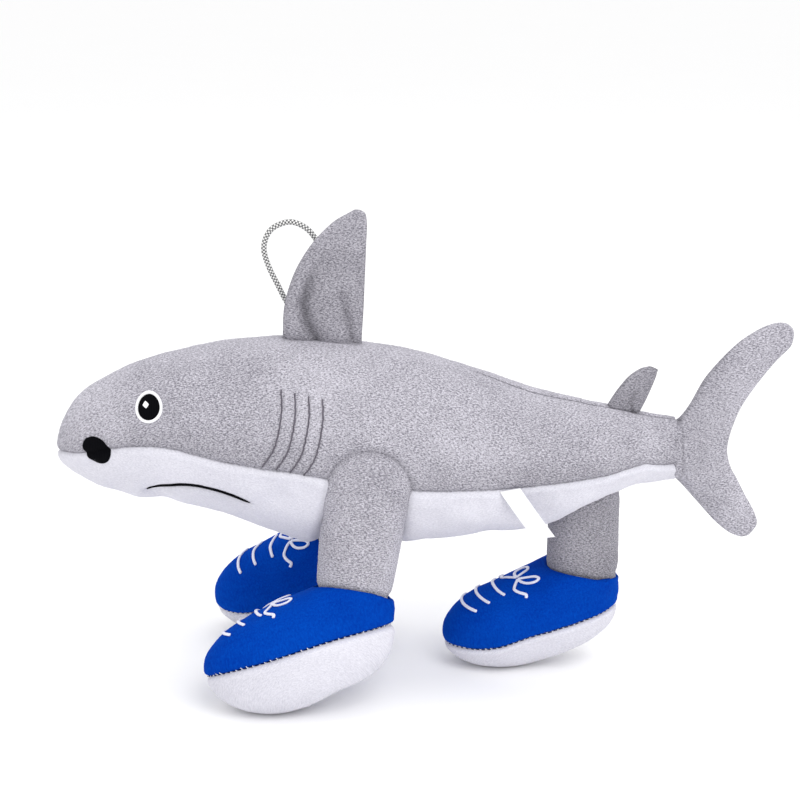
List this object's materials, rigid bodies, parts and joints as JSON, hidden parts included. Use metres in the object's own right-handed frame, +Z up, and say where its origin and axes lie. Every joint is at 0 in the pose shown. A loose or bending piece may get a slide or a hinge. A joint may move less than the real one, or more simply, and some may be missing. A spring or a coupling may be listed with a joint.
{
  "type": "plush shark",
  "caption": "Stuffed plush shark with fins and a forked tail, standing on legs that wear soft lace-up shoes, with a hanging cord behind the dorsal fin.",
  "frame": {"origin": "middle of the footprint, on the floor under the soles", "axes": "-X is the way the head points, +X the tail; +Y is the shark's right side; +Z is up"},
  "size_m": [0.4, 0.156, 0.2576],
  "materials": {
    "grey_plush": "matte",
    "white_plush": "matte",
    "shoe_fabric": "satin",
    "black_embroidery": "satin",
    "white_embroidery": "satin",
    "gill_thread": "satin",
    "label_ribbon": "satin",
    "braided_cord": "satin",
    "lace_thread": "satin",
    "seam_thread": "matte",
    "fibre_filling": "matte"
  },
  "bodies": {
    "torso": {"side_panel_left": "grey_plush", "side_panel_right": "grey_plush", "belly_panel": "white_plush", "body_stuffing": "fibre_filling", "shoulder_left": "grey_plush", "shoulder_right": "grey_plush", "back_seam": "grey_plush", "mouth_line": "black_embroidery", "gill_lines_left": "gill_thread", "gill_lines_right": "gill_thread", "nostril_left": "black_embroidery", "nostril_right": "black_embroidery", "eye_ring_left": "white_embroidery", "eye_pupil_left": "black_embroidery", "eye_glint_left": "white_embroidery", "eye_ring_right": "white_embroidery", "eye_pupil_right": "black_embroidery", "eye_glint_right": "white_embroidery"},
    "dorsal_fin": {"dorsal_panel_left": "grey_plush", "dorsal_panel_right": "grey_plush", "dorsal_stuffing": "fibre_filling"},
    "second_dorsal_fin": {"second_dorsal_left": "grey_plush", "second_dorsal_right": "grey_plush", "second_dorsal_stuffing": "fibre_filling"},
    "tail_fin": {"tail_panel_left": "grey_plush", "tail_panel_right": "grey_plush", "tail_stuffing": "fibre_filling"},
    "label_tab": {"care_label": "label_ribbon"},
    "cord_loop": {"hang_loop": "braided_cord"},
    "front_left_limb": {"front_left_leg": "grey_plush", "front_left_leg_stuffing": "fibre_filling"},
    "front_left_shoe": {"front_left_upper": "shoe_fabric", "front_left_sole": "white_plush", "front_left_shoe_stuffing": "fibre_filling", "front_left_laces": "lace_thread", "front_left_sole_seam": "seam_thread"},
    "front_right_limb": {"front_right_leg": "grey_plush", "front_right_leg_stuffing": "fibre_filling"},
    "front_right_shoe": {"front_right_upper": "shoe_fabric", "front_right_sole": "white_plush", "front_right_shoe_stuffing": "fibre_filling", "front_right_laces": "lace_thread", "front_right_sole_seam": "seam_thread"},
    "rear_limb": {"rear_leg": "grey_plush", "rear_leg_stuffing": "fibre_filling"},
    "rear_shoe": {"rear_upper": "shoe_fabric", "rear_sole": "white_plush", "rear_shoe_stuffing": "fibre_filling", "rear_laces": "lace_thread", "rear_sole_seam": "seam_thread"}
  },
  "joints": [
    {"name": "dorsal_flop", "type": "hinge", "parent": "torso", "child": "dorsal_fin", "pos_m": [-0.05575, 0, 0.19325], "axis": [0.9968, 0, -0.0802], "range_deg": [-30, 30], "stiffness_Nm_per_rad": 0.3},
    {"name": "second_dorsal_flop", "type": "hinge", "parent": "torso", "child": "second_dorsal_fin", "pos_m": [0.108, 0, 0.15265], "axis": [0.9674, 0, -0.2534], "range_deg": [-30, 30], "stiffness_Nm_per_rad": 0.05},
    {"name": "tail_sweep", "type": "hinge", "parent": "torso", "child": "tail_fin", "pos_m": [0.139, 0, 0.1235], "axis": [0, 0, 1], "range_deg": [-20, 20], "stiffness_Nm_per_rad": 1},
    {"name": "label_flap", "type": "hinge", "parent": "torso", "child": "label_tab", "pos_m": [0.042, -0.0396, 0.114], "axis": [1, 0, 0], "range_deg": [-60, 4], "stiffness_Nm_per_rad": 0.002},
    {"name": "loop_swing", "type": "hinge", "parent": "dorsal_fin", "child": "cord_loop", "pos_m": [-0.058, 0.0074, 0.194], "axis": [1, 0, 0], "range_deg": [-30, 2], "stiffness_Nm_per_rad": 0.02},
    {"name": "front_left_hip", "type": "hinge", "parent": "torso", "child": "front_left_limb", "pos_m": [-0.036, -0.035, 0.094], "axis": [0, 1, 0], "range_deg": [-22, 22], "stiffness_Nm_per_rad": 4},
    {"name": "front_right_hip", "type": "hinge", "parent": "torso", "child": "front_right_limb", "pos_m": [-0.036, 0.035, 0.094], "axis": [0, 1, 0], "range_deg": [-22, 22], "stiffness_Nm_per_rad": 4},
    {"name": "rear_hip", "type": "hinge", "parent": "torso", "child": "rear_limb", "pos_m": [0.088, 0, 0.095], "axis": [0, 1, 0], "range_deg": [-22, 22], "stiffness_Nm_per_rad": 4},
    {"name": "front_left_ankle", "type": "hinge", "parent": "front_left_limb", "child": "front_left_shoe", "pos_m": [-0.041, -0.046, 0.061], "axis": [0, 1, 0], "range_deg": [-12, 12], "stiffness_Nm_per_rad": 3},
    {"name": "front_right_ankle", "type": "hinge", "parent": "front_right_limb", "child": "front_right_shoe", "pos_m": [-0.041, 0.046, 0.061], "axis": [0, 1, 0], "range_deg": [-12, 12], "stiffness_Nm_per_rad": 3},
    {"name": "rear_ankle", "type": "hinge", "parent": "rear_limb", "child": "rear_shoe", "pos_m": [0.0885, 0, 0.0525], "axis": [0, 1, 0], "range_deg": [-14, 3], "stiffness_Nm_per_rad": 3}
  ]
}
